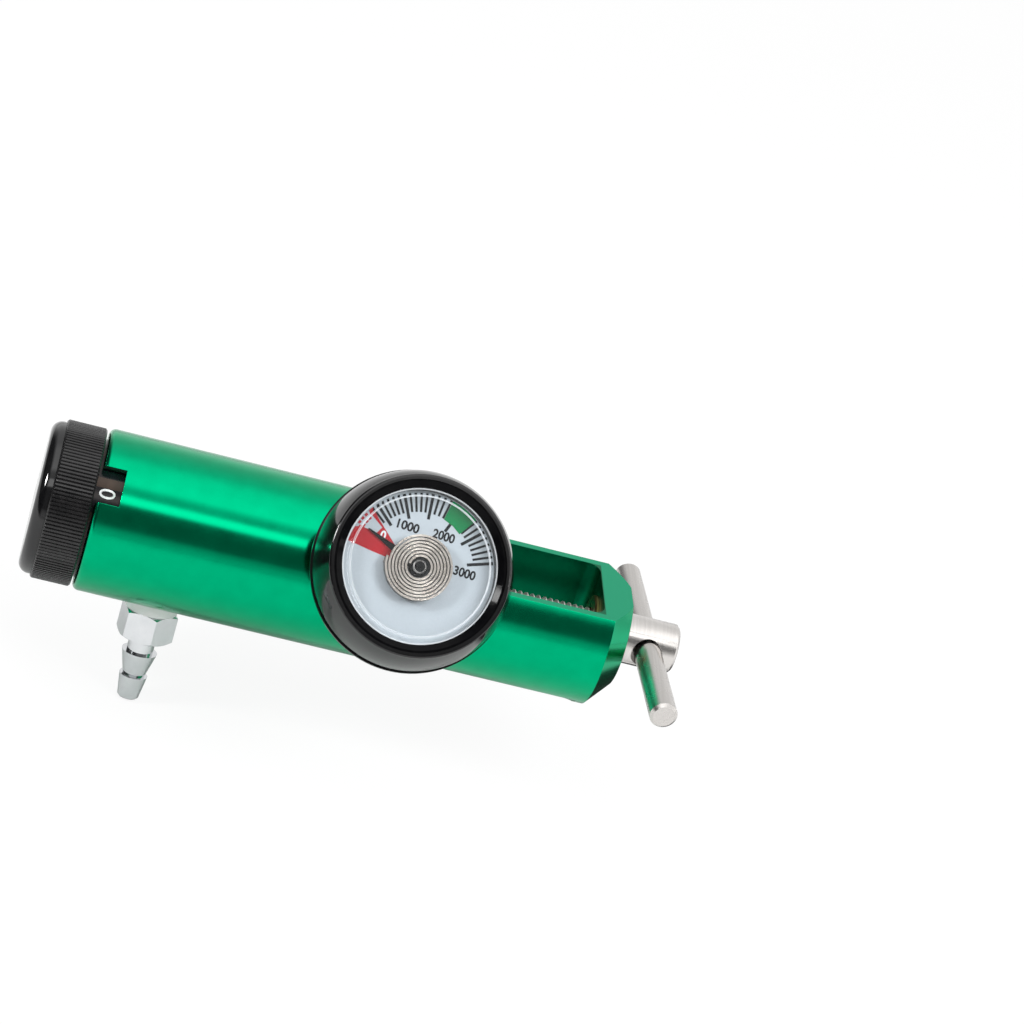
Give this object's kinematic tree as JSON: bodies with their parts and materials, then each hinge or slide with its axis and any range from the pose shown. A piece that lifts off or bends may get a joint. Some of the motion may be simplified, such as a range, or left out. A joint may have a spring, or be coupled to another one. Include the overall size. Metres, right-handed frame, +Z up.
{
  "type": "oxygen regulator",
  "caption": "Yoke-type oxygen cylinder regulator with selector knob, contents gauge, hose barb and a T-handled clamping screw.",
  "frame": {"origin": "middle of the yoke's seat face, on the axis of the turned body", "axes": "+X along the body's axis from the selector knob to the clamping screw, +Z up along the yoke slot, gauge towards -Y"},
  "size_m": [0.1544, 0.0758, 0.0828],
  "materials": {
    "green_anodised": "green anodised, turned",
    "brass": "machined brass",
    "sintered_bronze": "sintered bronze",
    "seal_rubber": "black rubber",
    "steel": "stainless steel",
    "screw_steel": "satin stainless steel",
    "piston_metal": "turned aluminium",
    "soft_seat": "white nylon",
    "white_plastic": "white nylon",
    "black_knurl": "black moulded plastic",
    "black_gloss": "glossy black plastic",
    "black_ring": "black printed ring",
    "black_bezel": "black plastic",
    "nickel": "bright nickel plate",
    "clear_lens": "clear moulded window",
    "dial_print": "pale printed dial",
    "coil_metal": "bronze flattened tube",
    "needle_black": "black painted needle"
  },
  "bodies": {
    "root": {"regulator_body": "green_anodised", "brass_sleeve": "brass", "inlet_nipple": "brass", "inlet_filter": "sintered_bronze", "seal_washer": "seal_rubber", "index_pins": "steel", "divider_plate": "brass", "face_seal": "seal_rubber", "closing_nut": "brass", "detent_ball": "steel", "detent_spring": "steel", "outlet_barb": "nickel", "outlet_washer": "white_plastic", "gauge_socket": "brass", "gauge_case": "black_gloss", "gauge_bezel": "black_bezel", "gauge_lens": "clear_lens", "gauge_dial": "dial_print", "bourdon_coil": "coil_metal", "thread_bush": "brass", "piston_spring": "steel"},
    "knob": {"knob_ring": "black_knurl", "knob_cap": "black_gloss", "knob_screw": "steel", "number_ring": "black_ring", "knob_spindle": "steel", "orifice_plate": "brass"},
    "reducing_piston": {"piston": "piston_metal", "piston_seat": "soft_seat", "piston_rings": "seal_rubber"},
    "screw_carriage": {"screw_clip": "steel"},
    "clamp_screw": {"tee_screw": "screw_steel", "tee_bar": "screw_steel"},
    "pointer": {"gauge_pointer": "needle_black", "pointer_spindle": "needle_black"}
  },
  "joints": [
    {"name": "knob_turn", "type": "hinge", "parent": "root", "child": "knob", "pos_m": [-0.0816, 0, 0], "axis": [1, 0, 0], "range_deg": [0, 330]},
    {"name": "piston_stroke", "type": "slide", "parent": "root", "child": "reducing_piston", "axis": [1, 0, 0], "range_m": [0, 0.0008], "stiffness_N_per_m": 2000},
    {"name": "tee_travel", "type": "slide", "parent": "root", "child": "screw_carriage", "axis": [1, 0, 0], "range_m": [0, 0.02224]},
    {"name": "tee_turn", "type": "hinge", "parent": "screw_carriage", "child": "clamp_screw", "pos_m": [0.0529, 0, 0], "axis": [1, 0, 0], "range_deg": [0, 5040]},
    {"name": "gauge_sweep", "type": "hinge", "parent": "root", "child": "pointer", "pos_m": [-0.0088, -0.02751, 0.01998], "axis": [0, -0.809, 0.5878], "range_deg": [-147, 0], "stiffness_Nm_per_rad": 0.0002}
  ],
  "couplings": [
    {"joint": "tee_travel", "follows": "tee_turn", "m_per_rad": 0.00025266}
  ]
}
